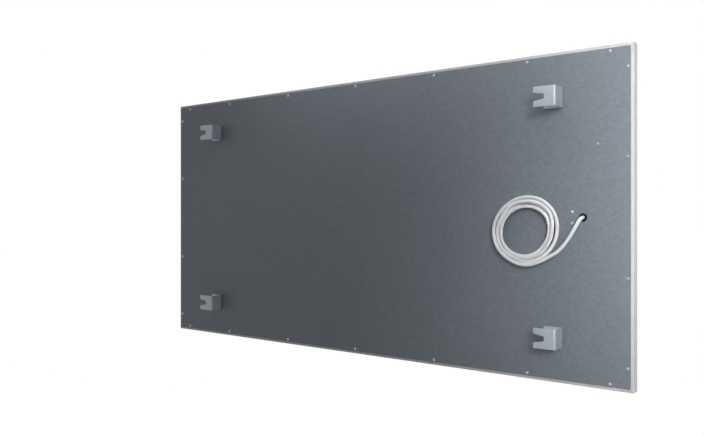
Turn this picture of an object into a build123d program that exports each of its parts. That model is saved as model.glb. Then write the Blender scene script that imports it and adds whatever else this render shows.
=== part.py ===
from build123d import *

import math
import os
from dataclasses import dataclass

# Infrared panel heater for a wall.  A folded steel tray is the radiating front.  Inside it lie the
# heating laminate, a reflector foil and an insulation board, and a galvanised cover is riveted over
# its back.  Four bent hook brackets on the cover hang the panel on wall pins, and the mains cable
# comes out of the cover through a grommet and lies on it in a coil.
#
# Millimetres.  X runs to the right as seen from the front, Y towards the wall, Z up.  The origin is
# the middle of the four hook notches, on the wall.  An "inset" is measured along X from the panel's
# cable end, the end at -X, and a "height" along Z from the panel's middle.  "Stand" is the distance
# of the cable's centre line from the cover's outside.

# Casing
panel_width = 1200.0
panel_height = 600.0
casing_depth = 20.0
tray_sheet = 0.8
tray_bend = 1.8
flange_width = 16.0
flange_mitre_gap = 0.5
flange_mitre_stop = 2.5
cover_sheet = 0.8
cover_reveal = 5.5
cover_corner = 3.0

# Rivets along the cover's edge, measured from the panel's outer edges
rivet_edge_distance = 10.5
rivet_end_inset = 41.0
rivet_second_inset = 195.0
long_side_middle_rivets = 3
rivet_hole_clearance = 0.05

# Hook brackets
bracket_sheet = 2.0
bracket_depth = 36.0
bracket_height = 36.4
bracket_bend = 4.6
bracket_base_length = 36.4
bracket_face_length = 41.8
bracket_inset = 124.6
bracket_row_inset = 83.0
notch_depth = 20.5
notch_mouth = 16.0
notch_bottom = 8.6
bracket_rivet_from_web = 20.0
bracket_rivet_spacing = 20.0

# Cable outlet and strain relief
outlet_inset = 88.0
cable_diameter = 6.4
cable_clearance = 0.1
grommet_flange_radius = 7.5
grommet_flange_height = 1.3
grommet_collar_radius = 5.2
grommet_collar_height = 2.0
grommet_neck_radius = 5.5
grommet_back_radius = 6.7
grommet_back_height = 1.5
grommet_edge = 0.5
grommet_collar_taper = 0.4
cable_inner_bend = 7.0
relief_from_outlet = 20.0
relief_length = 14.0
relief_height = 32.0
relief_clamp_depth = 5.2
relief_split = 0.4
relief_rivet_height = 10.2
relief_corner = 2.0
jacket_past_relief = 16.0

# Earth point
earth_inset = 61.4
earth_height = 129.7
ring_radius = 4.0
ring_sheet = 0.8
ring_barrel_radius = 1.7
ring_barrel_length = 7.0
ring_neck_width = 3.0
ring_neck_length = 3.0
ring_clearance = 1.0
ring_barrel_gap = 1.0

# Heating laminate, from the front sheet backwards
film_margin = 20.0
front_film = 0.4
strip_film = 0.3
back_film = 0.4
foil_sheet = 0.3
strip_width = 24.0
strip_gap = 6.0
strip_end_margin = 13.0
busbar_width = 12.0
busbar_inset = 4.0
busbar_overhang = 3.0

# Insulation board and its pockets
board_clearance = 0.5
pocket_before_outlet = 10.0
pocket_past_box = 4.0
pocket_below_box = 5.0
pocket_above_earth_wire = 9.0
groove_width = 4.5
rivet_pocket_clearance = 0.8
earth_groove_depth = 5.0
earth_turn_height = 27.0
earth_bend = 10.0

# Junction box, terminal block and thermal cut-out
box_from_jacket = 16.0
box_length = 60.0
box_height = 50.0
box_depth = 14.0
box_wall = 1.5
box_lid = 1.5
box_corner = 2.0
lip_gap = 0.2
lip_wall = 1.2
lip_depth = 1.0
block_from_box_end = 12.0
block_length = 16.0
block_height = 20.0
block_depth = 10.0
block_middle = -6.0
pole_spacing = 10.0
barrel_radius = 2.2
barrel_bore = 1.3
barrel_end_wall = 1.0
screw_radius = 1.2
screw_head_radius = 1.9
screw_head_height = 1.4
screw_head_gap = 0.2
screw_slot_length = 2.6
screw_slot_width = 0.5
screw_slot_depth = 0.6
cutout_length = 24.0
cutout_width = 7.0
cutout_depth = 4.0
cutout_from_box = 43.0
cutout_pocket_clearance = 3.0
cutout_pocket_room = 16.0
cutout_corner = 1.5
cutout_wire_run = 5.0
cutout_wire_rise = 14.0

# Wires
core_diameter = 2.3
conductor_diameter = 1.4
core_circle_radius = 1.4
stub_length = 4.0
stub_gap = 0.5
core_bend = 6.0
core_straight = 6.0
core_lead_in = 7.0
earth_straight = 9.0
cutout_bend = 5.0
live_core_angle = 210.0
neutral_core_angle = 330.0
earth_core_angle = 90.0
live_lead_past_block = 14.0
neutral_lead_past_block = 22.0
tab_length = 12.0
tab_width = 10.0
tab_sheet = 0.8
tab_barrel_radius = 2.0
tab_barrel_height = 3.0
lead_bend = 4.0
tab_window_clearance = 1.0
tab_pocket_clearance = 2.0

# Cable coil on the cover
coil_inset = 192.0
coil_height = -22.0
coil_start_radius = 67.0
coil_start_angle = -120.0
turn_pitch = 8.0
layer_pitch = 7.6
coil_seat_gap = 0.3
turns_inwards = 2.5
turns_sinking = 0.5
turns_outwards = 2.0
strip_back_length = 22.0
ferrule_length = 8.0
ferrule_diameter = 1.9

# The free lead between the grommet and the coil: inset and height from the outlet, and stand.
# The first point is on the grommet's collar, and the coil's start follows the last.
LEAD_ROUTE = [
    (0.0, 0.0, grommet_collar_height),
    (0.0, 0.0, 8.5),
    (2.4, -4.3, 13.4),
    (7.9, -14.6, 13.8),
    (16.5, -28.6, 13.4),
    (29.5, -46.8, 12.6),
    (43.5, -61.8, 11.9),
]
lead_last_run = 11.0
corner_share = 0.45

# How far a cut runs past the faces that it goes through
overcut = 1.0

# Planes across the depth
cover_outside = -bracket_depth
cover_inside = cover_outside - cover_sheet
flange_inside = cover_inside - tray_sheet
front_face = cover_outside - casing_depth
sheet_inside = front_face + tray_sheet
strip_front = sheet_inside + front_film
strip_back = strip_front + strip_film
film_back = strip_back + back_film
foil_back = film_back + foil_sheet
cable_inside = cover_inside - grommet_back_height - cable_inner_bend

CORE_ANGLES = (earth_core_angle, live_core_angle, neutral_core_angle)
cable_radius = cable_diameter / 2
core_radius = core_diameter / 2
conductor_radius = conductor_diameter / 2


# Places along the casing and up it that follow from the sizes
relief_inset = outlet_inset + relief_from_outlet
jacket_end_inset = relief_inset + jacket_past_relief
box_inset = jacket_end_inset + box_from_jacket
box_bottom = block_middle - box_height / 2
box_top = block_middle + box_height / 2
block_inset = box_inset + block_from_box_end
live_lead_inset = block_inset + block_length + live_lead_past_block
neutral_lead_inset = block_inset + block_length + neutral_lead_past_block
pocket_near_inset = outlet_inset - pocket_before_outlet
pocket_far_inset = box_inset + box_length + pocket_past_box
pocket_low = box_bottom - pocket_below_box
pocket_high = earth_turn_height + pocket_above_earth_wire


def at_inset(inset):
    """X of a point measured from the panel's cable end."""
    return inset - panel_width / 2


def block(x0, x1, y0, y1, z0, z1):
    """A rectangular block between two corners."""
    return Pos((x0 + x1) / 2, (y0 + y1) / 2, (z0 + z1) / 2) * Box(x1 - x0, y1 - y0, z1 - z0)


def bar_y(x, z, y0, y1, radius):
    """A round bar along Y."""
    return Pos(x, (y0 + y1) / 2, z) * Rot(90, 0, 0) * Cylinder(radius, y1 - y0)


def bar_x(y, z, x0, x1, radius):
    """A round bar along X."""
    return Pos((x0 + x1) / 2, y, z) * Rot(0, 90, 0) * Cylinder(radius, x1 - x0)


def bar_z(x, y, z0, z1, radius):
    """A round bar along Z."""
    return Pos(x, y, (z0 + z1) / 2) * Cylinder(radius, z1 - z0)


def tube_along(path, radius):
    """A round solid swept along a path of lines and arcs."""
    start = Plane(origin=path @ 0, z_dir=path % 0)
    return sweep(start * Circle(radius), path=path)


def save(name, *solids):
    """Write one sub-part, as one solid or as a group of separate ones."""
    shape = solids[0] if len(solids) == 1 else Compound(list(solids))
    export_step(shape, os.path.join("parts", name + ".step"))


@dataclass(frozen=True)
class Rivet:
    """A blind rivet: a domed head with the mandrel's hole, a shank and a set tail."""

    shank: float
    head: float
    head_height: float
    tail: float
    tail_length: float
    mandrel: float

    def solid(self, x, z, grip, seat=cover_outside):
        """The rivet at one place, its head on the plane y = seat and its tail past the grip."""
        sphere = (self.head ** 2 + self.head_height ** 2) / (2 * self.head_height)

        def dome(radius):
            return self.head_height - sphere + math.sqrt(sphere ** 2 - radius ** 2)

        middle = (self.head + self.mandrel) / 2
        hole_floor = dome(self.mandrel) - self.head_height / 2
        bottom = -grip - self.tail_length
        outline = (
            Polyline((0, hole_floor), (0, bottom), (self.tail, bottom), (self.tail, -grip),
                     (self.shank, -grip), (self.shank, 0), (self.head, 0))
            + ThreePointArc((self.head, 0), (middle, dome(middle)), (self.mandrel, dome(self.mandrel)))
            + Polyline((self.mandrel, dome(self.mandrel)), (self.mandrel, hole_floor), (0, hole_floor))
        )
        return Pos(x, seat, z) * revolve(make_face(outline), axis=Axis.Y)

    def hole(self, x, z, y0, y1):
        """The hole that its shank passes through."""
        return bar_y(x, z, y0, y1, self.shank + rivet_hole_clearance)

    def tail_pocket(self, x, z):
        """Room for its tail in the board behind the cover."""
        depth = self.tail_length + tray_sheet
        radius = self.tail + rivet_pocket_clearance
        return bar_y(x, z, cover_inside - depth, cover_inside, radius)


EDGE_RIVET = Rivet(shank=1.6, head=3.0, head_height=1.2, tail=2.4, tail_length=2.0, mandrel=0.9)
BRACKET_RIVET = Rivet(shank=1.6, head=3.2, head_height=1.2, tail=2.4, tail_length=2.0, mandrel=0.9)
RELIEF_RIVET = Rivet(shank=1.3, head=2.6, head_height=1.0, tail=2.1, tail_length=1.5, mandrel=0.7)
EARTH_RIVET = Rivet(shank=1.2, head=1.9, head_height=0.8, tail=1.9, tail_length=1.5, mandrel=0.5)


def edge_rivet_places():
    """X and Z of each rivet along the cover's edge."""
    half_width = panel_width / 2
    half_height = panel_height / 2
    span = 2 * (half_width - rivet_second_inset)
    steps = long_side_middle_rivets + 1
    along = [half_width - rivet_end_inset, rivet_end_inset - half_width]
    along += [rivet_second_inset - half_width + span * i / steps for i in range(steps + 1)]
    up = [sign * (half_height - inset) for sign in (1, -1) for inset in (rivet_end_inset, rivet_second_inset)]
    edge_x = half_width - rivet_edge_distance
    edge_z = half_height - rivet_edge_distance
    places = [(x, side * edge_z) for side in (1, -1) for x in along]
    places += [(side * edge_x, z) for side in (1, -1) for z in up]
    return places


def bracket_places():
    """Name, X of the web's outer face and Z of the middle, for the four brackets.

    All four face the same way, so the far pair is set by its notches, not by its webs.
    """
    notch_from_web = bracket_face_length - notch_depth
    row_height = panel_height / 2 - bracket_row_inset
    near_web = at_inset(bracket_inset)
    notch_x = near_web + notch_from_web
    far_web = -notch_x - notch_from_web
    return [
        (f"bracket_{row}_{column}", web, side * row_height)
        for column, web in (("cable_end", near_web), ("far_end", far_web))
        for row, side in (("upper", 1), ("lower", -1))
    ]


def bracket_rivet_places():
    """X and Z of the two rivets in each bracket's base."""
    return [
        (web + bracket_rivet_from_web, middle + side * bracket_rivet_spacing / 2)
        for _, web, middle in bracket_places()
        for side in (1, -1)
    ]


def relief_rivet_places():
    """X and Z of the two rivets of the strain relief."""
    return [(at_inset(relief_inset), side * relief_rivet_height) for side in (1, -1)]


# ---------------------------------------------------------------- casing

def front_panel():
    """The tray: radiating sheet, four sides and a return flange, folded from one sheet."""
    half_width = panel_width / 2
    half_height = panel_height / 2
    outer = block(-half_width, half_width, front_face, cover_inside, -half_height, half_height)
    outer = fillet(outer.edges(), tray_bend)
    inner = block(
        tray_sheet - half_width, half_width - tray_sheet, sheet_inside, flange_inside,
        tray_sheet - half_height, half_height - tray_sheet,
    )
    inner = fillet(inner.edges(), tray_bend - tray_sheet)
    window_x = half_width - flange_width
    window_z = half_height - flange_width
    tray = outer - inner
    tray -= block(-window_x, window_x, flange_inside - tray_sheet, cover_inside + overcut, -window_z, window_z)
    slit_end = flange_width + overcut
    slit = Box((slit_end - flange_mitre_stop) * math.sqrt(2), 2 * tray_sheet, flange_mitre_gap)
    middle = (slit_end + flange_mitre_stop) / 2
    for side_x in (1, -1):
        for side_z in (1, -1):
            place = Pos(side_x * (half_width - middle), cover_inside, side_z * (half_height - middle))
            tray -= place * Rot(0, -45 * side_x * side_z, 0) * slit
    for x, z in edge_rivet_places():
        tray -= EDGE_RIVET.hole(x, z, flange_inside - tray_sheet, cover_inside + overcut)
    return tray


def rear_cover():
    """The flat galvanised cover over the tray's back, with all its holes."""
    half_width = panel_width / 2 - cover_reveal
    half_height = panel_height / 2 - cover_reveal
    cover = block(-half_width, half_width, cover_inside, cover_outside, -half_height, half_height)
    cover = fillet(cover.edges().filter_by(Axis.Y), cover_corner)
    below = cover_inside - overcut
    above = cover_outside + overcut
    for rivet, places in (
        (EDGE_RIVET, edge_rivet_places()),
        (BRACKET_RIVET, bracket_rivet_places()),
        (RELIEF_RIVET, relief_rivet_places()),
        (EARTH_RIVET, [(at_inset(earth_inset), earth_height)]),
    ):
        for x, z in places:
            cover -= rivet.hole(x, z, below, above)
    return cover - bar_y(at_inset(outlet_inset), 0, below, above, grommet_neck_radius)


def bracket(web_x, middle_z):
    """One hook bracket: base on the cover, web, and a face on the wall with a tapered notch."""
    wall = 0
    low = middle_z - bracket_height / 2
    high = middle_z + bracket_height / 2
    body = block(web_x, web_x + bracket_face_length, cover_outside, wall, low, high)
    body = fillet(body.edges().filter_by(Axis.Z).group_by(Axis.X)[0], bracket_bend)
    hollow = block(
        web_x + bracket_sheet, web_x + bracket_face_length + overcut,
        cover_outside + bracket_sheet, wall - bracket_sheet, low - overcut, high + overcut,
    )
    hollow = fillet(hollow.edges().filter_by(Axis.Z).group_by(Axis.X)[0], bracket_bend - bracket_sheet)
    body -= hollow
    body -= block(
        web_x + bracket_base_length, web_x + bracket_face_length + overcut,
        cover_outside - overcut, cover_outside + bracket_sheet + overcut, low - overcut, high + overcut,
    )
    tip = web_x + bracket_face_length
    past_tip = tip + overcut
    taper = (notch_mouth - notch_bottom) / 2 / notch_depth
    mouth = notch_mouth / 2 + taper * overcut
    outline = Polyline(
        (tip - notch_depth, middle_z - notch_bottom / 2), (past_tip, middle_z - mouth),
        (past_tip, middle_z + mouth), (tip - notch_depth, middle_z + notch_bottom / 2), close=True,
    )
    notch = extrude(Plane.XZ * make_face(outline), amount=bracket_sheet + overcut, both=True)
    body -= notch
    for side in (1, -1):
        x = web_x + bracket_rivet_from_web
        z = middle_z + side * bracket_rivet_spacing / 2
        body -= BRACKET_RIVET.hole(x, z, cover_outside - overcut, cover_outside + bracket_sheet + overcut)
    return body


def edge_rivets():
    """All the rivets that hold the cover on the tray's flange."""
    return [EDGE_RIVET.solid(x, z, cover_sheet + tray_sheet) for x, z in edge_rivet_places()]


def bracket_rivets():
    """All the rivets that hold the brackets on the cover."""
    seat = cover_outside + bracket_sheet
    return [BRACKET_RIVET.solid(x, z, bracket_sheet + cover_sheet, seat) for x, z in bracket_rivet_places()]


# ---------------------------------------------------------------- heating laminate and insulation

film_half_width = panel_width / 2 - film_margin
film_half_height = panel_height / 2 - film_margin
busbar_outer = film_half_height - busbar_inset
busbar_inner = busbar_outer - busbar_width
busbar_middle = (busbar_outer + busbar_inner) / 2
tab_places = [(at_inset(live_lead_inset), busbar_middle), (at_inset(neutral_lead_inset), -busbar_middle)]


def film(y0, y1):
    """One full sheet of the laminate."""
    return block(-film_half_width, film_half_width, y0, y1, -film_half_height, film_half_height)


def with_tab_windows(sheet, y0, y1):
    """A sheet with a window round each connection tab."""
    for x, z in tab_places:
        half_x = tab_length / 2 + tab_window_clearance
        half_z = tab_width / 2 + tab_window_clearance
        sheet -= block(x - half_x, x + half_x, y0 - overcut, y1 + overcut, z - half_z, z + half_z)
    return sheet


def strip_places():
    """X of the middle of each heating strip, spread evenly about the panel's middle."""
    pitch = strip_width + strip_gap
    room = 2 * (film_half_width - strip_end_margin) + strip_gap
    count = int(room // pitch)
    return [(i - (count - 1) / 2) * pitch for i in range(count)]


def heating_strips():
    """Carbon strips that run from one busbar to the other."""
    half = strip_width / 2
    return [block(x - half, x + half, strip_front, strip_back, -busbar_inner, busbar_inner) for x in strip_places()]


def busbar(side):
    """A copper strip along the ends of the heating strips: side is 1 above and -1 below."""
    reach = strip_places()[-1] + strip_width / 2 + busbar_overhang
    z0, z1 = sorted((side * busbar_inner, side * busbar_outer))
    return block(-reach, reach, strip_front, strip_back, z0, z1)


def connection_tabs():
    """The flat tab with a crimp barrel where each lead joins its busbar."""
    tabs = []
    for x, z in tab_places:
        plate_back = strip_back + tab_sheet
        half_x = tab_length / 2
        half_z = tab_width / 2
        tab = block(x - half_x, x + half_x, strip_back, plate_back, z - half_z, z + half_z)
        barrel_top = plate_back + tab_barrel_height
        tab += bar_y(x, z, plate_back, barrel_top, tab_barrel_radius)
        tabs.append(tab - bar_y(x, z, plate_back, barrel_top + overcut, conductor_radius + cable_clearance))
    return tabs


def groove(x, z0, z1, floor):
    """The cut for a wire groove along Z, open towards the cover."""
    return block(x - groove_width / 2, x + groove_width / 2, floor, cover_inside + overcut, z0, z1)


def earth_groove():
    """The cut for the earth wire: out of the pocket, round a corner and up to the ring terminal."""
    x = at_inset(earth_inset)
    half = groove_width / 2
    floor = cover_inside - earth_groove_depth
    above = cover_inside + overcut
    low = earth_turn_height - half
    cut = groove(x, low, earth_height, floor)
    cut += block(x - half, at_inset(pocket_near_inset) + overcut, floor, above, low, earth_turn_height + half)
    cut += block(x - half, x + earth_bend, floor, above, low, earth_turn_height + earth_bend)
    return cut + bar_y(x, earth_height, floor, above, ring_radius + ring_clearance)


cutout_low = box_top + cutout_from_box
cutout_high = cutout_low + cutout_length


def insulation_board():
    """The board behind the reflector, with the pocket for the connections and the wires' grooves."""
    half_width = panel_width / 2 - flange_width - board_clearance
    half_height = panel_height / 2 - flange_width - board_clearance
    board = block(-half_width, half_width, foil_back, cover_inside, -half_height, half_height)
    through_low = foil_back - overcut
    through_high = cover_inside + overcut
    board -= block(
        at_inset(pocket_near_inset), at_inset(pocket_far_inset), through_low, through_high,
        pocket_low, pocket_high,
    )
    live_x = at_inset(live_lead_inset)
    neutral_x = at_inset(neutral_lead_inset)
    floor = cable_inside - core_radius - cable_clearance
    board -= groove(live_x, pocket_high - overcut, busbar_middle, floor)
    board -= groove(neutral_x, -busbar_middle, pocket_low + overcut, floor)
    half_pocket = cutout_width / 2 + cutout_pocket_clearance
    board -= block(
        live_x - half_pocket, live_x + half_pocket, through_low, through_high,
        cutout_low - cutout_pocket_room, cutout_high + cutout_pocket_room,
    )
    for x, z in tab_places:
        board -= bar_y(x, z, through_low, through_high, tab_length / 2 + tab_pocket_clearance)
    for x, z in bracket_rivet_places():
        board -= BRACKET_RIVET.tail_pocket(x, z)
    return board - earth_groove()


# ---------------------------------------------------------------- outlet, strain relief and cable inside

def cable_grommet():
    """The rubber ring in the cover: flange and collar outside, neck in the hole, flange inside."""
    bore = cable_radius + cable_clearance
    neck = grommet_neck_radius - rivet_hole_clearance
    top = grommet_flange_height
    back = -cover_sheet - grommet_back_height
    outline = Polyline(
        (bore, grommet_collar_height), (grommet_collar_radius - grommet_collar_taper, grommet_collar_height),
        (grommet_collar_radius, top), (grommet_flange_radius - grommet_edge, top),
        (grommet_flange_radius, top - grommet_edge), (grommet_flange_radius, 0), (neck, 0), (neck, -cover_sheet),
        (grommet_back_radius, -cover_sheet), (grommet_back_radius, back), (bore, back), close=True,
    )
    return Pos(at_inset(outlet_inset), cover_outside, 0) * revolve(make_face(outline), axis=Axis.Y)


def cable_inner():
    """The cable inside the casing, from the grommet's collar to the end of its jacket."""
    x = at_inset(outlet_inset)
    path = FilletPolyline(
        (x, cover_outside + grommet_collar_height, 0), (x, cable_inside, 0),
        (at_inset(jacket_end_inset), cable_inside, 0), radius=cable_inner_bend,
    )
    return tube_along(path, cable_radius)


def relief_half(y0, y1):
    """One half of the strain relief: a block with its share of the cable's bore and rivet holes."""
    x = at_inset(relief_inset)
    half_length = relief_length / 2
    half_height = relief_height / 2
    half = block(x - half_length, x + half_length, y0, y1, -half_height, half_height)
    half = fillet(half.edges().filter_by(Axis.Y), relief_corner)
    bore = cable_radius + cable_clearance / 2
    half -= bar_x(cable_inside, 0, x - half_length - overcut, x + half_length + overcut, bore)
    for rivet_x, rivet_z in relief_rivet_places():
        half -= RELIEF_RIVET.hole(rivet_x, rivet_z, y0 - overcut, y1 + overcut)
    return half


relief_clamp_front = cable_inside - relief_split / 2 - relief_clamp_depth


def relief_rivets():
    """The two rivets through cover, base and clamp."""
    grip = cover_outside - relief_clamp_front
    return [RELIEF_RIVET.solid(x, z, grip) for x, z in relief_rivet_places()]


def wire(points, radii, stub_start=0.0, stub_end=0.0):
    """A core along a route, with a bare conductor of the given length past either end."""
    path = FilletPolyline(*points, radius=radii)
    solid = tube_along(path, core_radius)
    for length, origin, direction in (
        (stub_start, path @ 0, (path % 0) * -1), (stub_end, path @ 1, path % 1),
    ):
        if length:
            solid += extrude(Plane(origin=origin, z_dir=direction) * Circle(conductor_radius), amount=length)
    return solid


def core_start(angle):
    """Where a core leaves the jacket's end, at an angle round the cable."""
    turn = math.radians(angle)
    return (
        at_inset(jacket_end_inset),
        cable_inside + core_circle_radius * math.cos(turn),
        core_circle_radius * math.sin(turn),
    )


live_pole = block_middle + pole_spacing / 2
neutral_pole = block_middle - pole_spacing / 2


def core_to_pole(angle, pole):
    """A core from the jacket's end to its pole on the terminal block."""
    x, y, z = core_start(angle)
    block_x = at_inset(block_inset)
    points = [
        (x, y, z), (x + core_straight, y, z),
        (block_x - core_lead_in, cable_inside, pole), (block_x, cable_inside, pole),
    ]
    return wire(points, [core_bend, core_bend], stub_end=stub_length)


def earth_core():
    """The earth core from the jacket's end to the ring under the earth rivet."""
    x, y, z = core_start(earth_core_angle)
    turn_x = x + earth_straight
    earth_x = at_inset(earth_inset)
    near_cover = cover_inside - core_radius - ring_sheet
    crimp = earth_height - ring_radius - ring_barrel_length
    points = [
        (x, y, z), (turn_x, y, z), (turn_x, near_cover, earth_turn_height),
        (earth_x, near_cover, earth_turn_height), (earth_x, near_cover, crimp),
    ]
    return wire(points, [lead_bend, earth_bend, earth_bend], stub_end=stub_length)


def earth_ring():
    """The ring terminal under the cover at the earth rivet, with its crimp barrel downwards."""
    x = at_inset(earth_inset)
    front = cover_inside - ring_sheet
    barrel_y = front - core_radius
    ring_bottom = earth_height - ring_radius
    barrel_bottom = ring_bottom - ring_barrel_length
    barrel_top = ring_bottom - ring_barrel_gap
    half_neck = ring_neck_width / 2
    ring = bar_y(x, earth_height, front, cover_inside, ring_radius)
    ring += block(x - half_neck, x + half_neck, front, cover_inside, ring_bottom - ring_neck_length, earth_height)
    ring += bar_z(x, barrel_y, barrel_bottom, barrel_top, ring_barrel_radius)
    ring -= block(
        x - ring_radius, x + ring_radius, cover_inside, cover_inside + ring_radius,
        barrel_bottom - overcut, ring_bottom,
    )
    bore = conductor_radius + cable_clearance
    ring -= bar_z(x, barrel_y, barrel_bottom - overcut, barrel_top - ring_barrel_gap, bore)
    return ring - EARTH_RIVET.hole(x, earth_height, front - overcut, cover_inside + overcut)


# ---------------------------------------------------------------- junction box and its contents

box_floor = foil_back + box_wall
box_rim = foil_back + box_depth


def junction_box():
    """An open plastic box that rests on the foil, with a slot for the cores and a hole per lead."""
    x0 = at_inset(box_inset)
    x1 = x0 + box_length
    shell = block(x0, x1, foil_back, box_rim, box_bottom, box_top)
    shell = fillet(shell.edges().filter_by(Axis.Y), box_corner)
    shell -= block(
        x0 + box_wall, x1 - box_wall, box_floor, box_rim + overcut, box_bottom + box_wall, box_top - box_wall,
    )
    ledge_top = cable_inside - block_depth / 2
    block_x = at_inset(block_inset)
    half = block_height / 2
    shell += block(block_x, block_x + block_length, box_floor, ledge_top, block_middle - half, block_middle + half)
    slot = core_diameter
    shell -= block(
        x0 - overcut, x0 + box_wall + overcut, cable_inside - slot, cable_inside + slot,
        neutral_pole - slot, live_pole + slot,
    )
    hole = core_radius + cable_clearance
    for inset, low in ((live_lead_inset, box_top - box_wall), (neutral_lead_inset, box_bottom)):
        shell -= bar_z(at_inset(inset), cable_inside, low - overcut, low + box_wall + overcut, hole)
    return shell


def junction_box_lid():
    """The lid on the box's rim, with a lip that drops inside the walls."""
    x0 = at_inset(box_inset)
    x1 = x0 + box_length
    lid = block(x0, x1, box_rim, box_rim + box_lid, box_bottom, box_top)
    lid = fillet(lid.edges().filter_by(Axis.Y), box_corner)
    gap = box_wall + lip_gap
    lip_low = box_rim - lip_depth
    lip = block(x0 + gap, x1 - gap, lip_low, box_rim, box_bottom + gap, box_top - gap)
    inside = gap + lip_wall
    lip -= block(
        x0 + inside, x1 - inside, lip_low - overcut, box_rim, box_bottom + inside, box_top - inside,
    )
    return lid + lip


def screw_places():
    """X and Z of the four terminal screws, two to a pole."""
    x0 = at_inset(block_inset)
    quarter = block_length / 4
    return [(x0 + along, pole) for pole in (live_pole, neutral_pole) for along in (quarter, block_length - quarter)]


def terminal_block():
    """The housing of the two-pole terminal block, with room for barrels and screws."""
    x0 = at_inset(block_inset)
    half = block_height / 2
    top = cable_inside + block_depth / 2
    housing = block(
        x0, x0 + block_length, cable_inside - block_depth / 2, top, block_middle - half, block_middle + half,
    )
    for pole in (live_pole, neutral_pole):
        mouth = core_radius + cable_clearance
        housing -= bar_x(cable_inside, pole, x0 - overcut, x0 + block_length + overcut, mouth)
        housing -= bar_x(
            cable_inside, pole, x0 + barrel_end_wall, x0 + block_length - barrel_end_wall, barrel_radius,
        )
    for x, z in screw_places():
        housing -= bar_y(x, z, cable_inside, top + overcut, screw_head_radius + cable_clearance)
    return housing


def terminal_barrels():
    """The brass clamping tubes of the two poles."""
    x0 = at_inset(block_inset) + barrel_end_wall
    x1 = at_inset(block_inset) + block_length - barrel_end_wall
    barrels = []
    for pole in (live_pole, neutral_pole):
        barrel = bar_x(cable_inside, pole, x0, x1, barrel_radius - cable_clearance)
        barrel -= bar_x(cable_inside, pole, x0 - overcut, x1 + overcut, barrel_bore)
        past = cable_inside + barrel_radius + overcut
        for x, z in screw_places():
            if z == pole:
                barrel -= bar_y(x, z, cable_inside, past, screw_radius + cable_clearance)
        barrels.append(barrel)
    return barrels


def terminal_screws():
    """The four clamping screws, each tip on its conductor and each head with a slot."""
    tip = cable_inside + conductor_radius
    head = cable_inside + barrel_radius + screw_head_gap
    top = head + screw_head_height
    half_x = screw_slot_length / 2
    half_z = screw_slot_width / 2
    screws = []
    for x, z in screw_places():
        screw = bar_y(x, z, tip, head, screw_radius) + bar_y(x, z, head, top, screw_head_radius)
        slot = block(x - half_x, x + half_x, top - screw_slot_depth, top + overcut, z - half_z, z + half_z)
        screws.append(screw - slot)
    return screws


cutout_middle = foil_back + cutout_depth / 2


def thermal_cutout():
    """The bimetal cut-out that lies on the foil in the live lead."""
    x = at_inset(live_lead_inset)
    half = cutout_width / 2
    body = block(x - half, x + half, foil_back, foil_back + cutout_depth, cutout_low, cutout_high)
    return fillet(body.edges().filter_by(Axis.Y), cutout_corner)


def live_lead():
    """The live lead from its pole up to the cut-out."""
    x = at_inset(live_lead_inset)
    start = at_inset(block_inset) + block_length
    points = [
        (start, cable_inside, live_pole), (x, cable_inside, live_pole),
        (x, cable_inside, cutout_low - cutout_wire_rise),
        (x, cutout_middle, cutout_low - cutout_wire_run), (x, cutout_middle, cutout_low),
    ]
    return wire(points, [lead_bend, cutout_bend, cutout_bend], stub_start=stub_length)


def cutout_lead():
    """The live lead from the cut-out up to the upper busbar."""
    x, z = tab_places[0]
    tab_top = strip_back + tab_sheet + tab_barrel_height
    points = [
        (x, cutout_middle, cutout_high), (x, cutout_middle, cutout_high + cutout_wire_run),
        (x, cable_inside, cutout_high + cutout_wire_rise), (x, cable_inside, z), (x, tab_top, z),
    ]
    return wire(points, [cutout_bend, cutout_bend, lead_bend], stub_end=tab_barrel_height - stub_gap)


def neutral_lead():
    """The neutral lead from its pole down to the lower busbar."""
    x, z = tab_places[1]
    start = at_inset(block_inset) + block_length
    tab_top = strip_back + tab_sheet + tab_barrel_height
    points = [
        (start, cable_inside, neutral_pole), (x, cable_inside, neutral_pole), (x, cable_inside, z),
        (x, tab_top, z),
    ]
    return wire(points, [lead_bend, lead_bend], stub_start=stub_length, stub_end=tab_barrel_height - stub_gap)


# ---------------------------------------------------------------- free cable: lead and coil

coil_turns = turns_inwards + turns_sinking + turns_outwards
coil_centre_x = at_inset(coil_inset)
bottom_layer = cover_outside + coil_seat_gap + cable_radius
top_layer = bottom_layer + layer_pitch


def coil_point(turn):
    """A point of the coil's centre line, counted in turns from its outer start.

    The spiral runs in on the top layer and out again on the bottom one at one steady rate, and
    sinks from layer to layer in the half turn where it reverses.
    """
    reversal = turns_inwards + turns_sinking / 2
    inwards = min(turn, 2 * reversal - turn)
    radius = coil_start_radius - turn_pitch * inwards
    sunk = min(max((turn - turns_inwards) / turns_sinking, 0), 1)
    angle = math.radians(coil_start_angle + 360 * turn)
    return Vector(
        coil_centre_x + radius * math.cos(angle),
        top_layer - layer_pitch * sunk,
        coil_height + radius * math.sin(angle),
    )


def coil_tangent(turn):
    """The coil's direction at a turn, level with its layer where it isn't sinking."""
    step = 0.0025
    low = max(turn - step, 0)
    high = min(turn + step, coil_turns)
    along = coil_point(high) - coil_point(low)
    sinking = turns_inwards < turn < turns_inwards + turns_sinking
    return (along if sinking else Vector(along.X, 0, along.Z)).normalized()


def biarc(start, start_dir, end, end_dir):
    """Two arcs that join two points smoothly in the given directions."""
    chord = end - start
    both = start_dir + end_dir
    spread = 2 * (1 - start_dir.dot(end_dir))
    reach = (math.sqrt(chord.dot(both) ** 2 + spread * chord.dot(chord)) - chord.dot(both)) / spread
    corner = start + start_dir * reach
    other = end - end_dir * reach
    joint = (corner + other) * 0.5
    along = (other - corner).normalized()
    return [TangentArc(start, joint, tangent=start_dir), TangentArc(joint, end, tangent=along)]


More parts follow.
